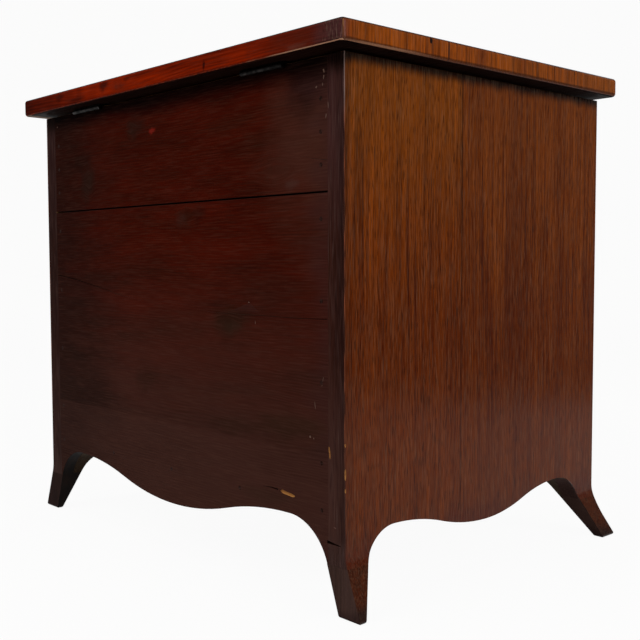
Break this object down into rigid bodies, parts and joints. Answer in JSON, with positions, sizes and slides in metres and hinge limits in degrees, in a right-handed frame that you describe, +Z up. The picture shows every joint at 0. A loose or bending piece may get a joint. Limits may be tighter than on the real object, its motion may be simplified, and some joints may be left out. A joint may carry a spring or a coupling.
{
  "type": "storage chest",
  "caption": "Lidded wooden chest with a back-hinged overhanging lid, shaped aprons on all sides and splayed bracket feet, for storing things inside.",
  "frame": {"origin": "on the floor, in the middle of the whole chest's footprint", "axes": "+Z up, -Y the front with the lock, +Y the back with the hinges, +X to the right seen from the front"},
  "size_m": [0.605, 0.4544, 0.5425],
  "materials": {
    "pine_stained": "stained and aged",
    "pine_bare": "bare, sawn and aged",
    "mahogany_veneer": "french polished",
    "mahogany_crossband": "french polished",
    "mahogany_solid": "polished and worn",
    "brass": "aged",
    "steel": "dull",
    "iron": "dark, aged"
  },
  "bodies": {
    "carcase": {"back_board_lower": "pine_stained", "back_board_upper": "pine_stained", "back_nails": "iron", "bottom_bearer_back": "pine_bare", "bottom_bearer_front": "pine_bare", "bottom_bearer_left": "pine_bare", "bottom_bearer_right": "pine_bare", "bottom_board_front": "pine_bare", "bottom_board_rear": "pine_bare", "bottom_nails": "iron", "corner_fillet_front_left": "pine_bare", "corner_fillet_front_right": "pine_bare", "corner_fillet_rear_left": "pine_bare", "corner_fillet_rear_right": "pine_bare", "escutcheon_pins": "brass", "foot_dowels": "pine_bare", "foot_front_left": "mahogany_solid", "foot_front_right": "mahogany_solid", "foot_rear_left": "mahogany_solid", "foot_rear_right": "mahogany_solid", "front_board": "pine_bare", "front_veneer_left": "mahogany_veneer", "front_veneer_right": "mahogany_veneer", "glue_blocks": "pine_bare", "hinge_left_lower_leaf": "steel", "hinge_left_pin": "steel", "hinge_lower_screws": "steel", "hinge_right_lower_leaf": "steel", "hinge_right_pin": "steel", "keyhole_escutcheon": "brass", "left_side_board": "pine_stained", "left_veneer_front": "mahogany_veneer", "left_veneer_rear": "mahogany_veneer", "lock_case": "iron", "lock_plate": "brass", "lock_plate_screws": "brass", "right_side_board": "pine_stained", "right_veneer_front": "mahogany_veneer", "right_veneer_rear": "mahogany_veneer"},
    "lid": {"hinge_left_upper_leaf": "steel", "hinge_right_upper_leaf": "steel", "hinge_upper_screws": "steel", "lid_board_front": "pine_stained", "lid_board_rear": "pine_stained", "lid_cleat_left": "pine_stained", "lid_cleat_right": "pine_stained", "lid_crossband_back": "mahogany_crossband", "lid_crossband_front": "mahogany_crossband", "lid_crossband_left": "mahogany_crossband", "lid_crossband_right": "mahogany_crossband", "lid_edge_band_front": "mahogany_crossband", "lid_edge_band_left": "mahogany_crossband", "lid_edge_band_right": "mahogany_crossband", "lid_top_veneer": "mahogany_veneer", "lock_link_plate": "brass", "lock_link_screws": "brass"},
    "lock_bolt": {"lock_bolt": "iron"}
  },
  "joints": [
    {"name": "lid_hinge", "type": "hinge", "parent": "carcase", "child": "lid", "pos_m": [0, 0.2093, 0.518], "axis": [-1, 0, 0], "range_deg": [0, 105]},
    {"name": "bolt_slide", "type": "slide", "parent": "carcase", "child": "lock_bolt", "axis": [1, 0, 0], "range_m": [0, 0.008]}
  ]
}
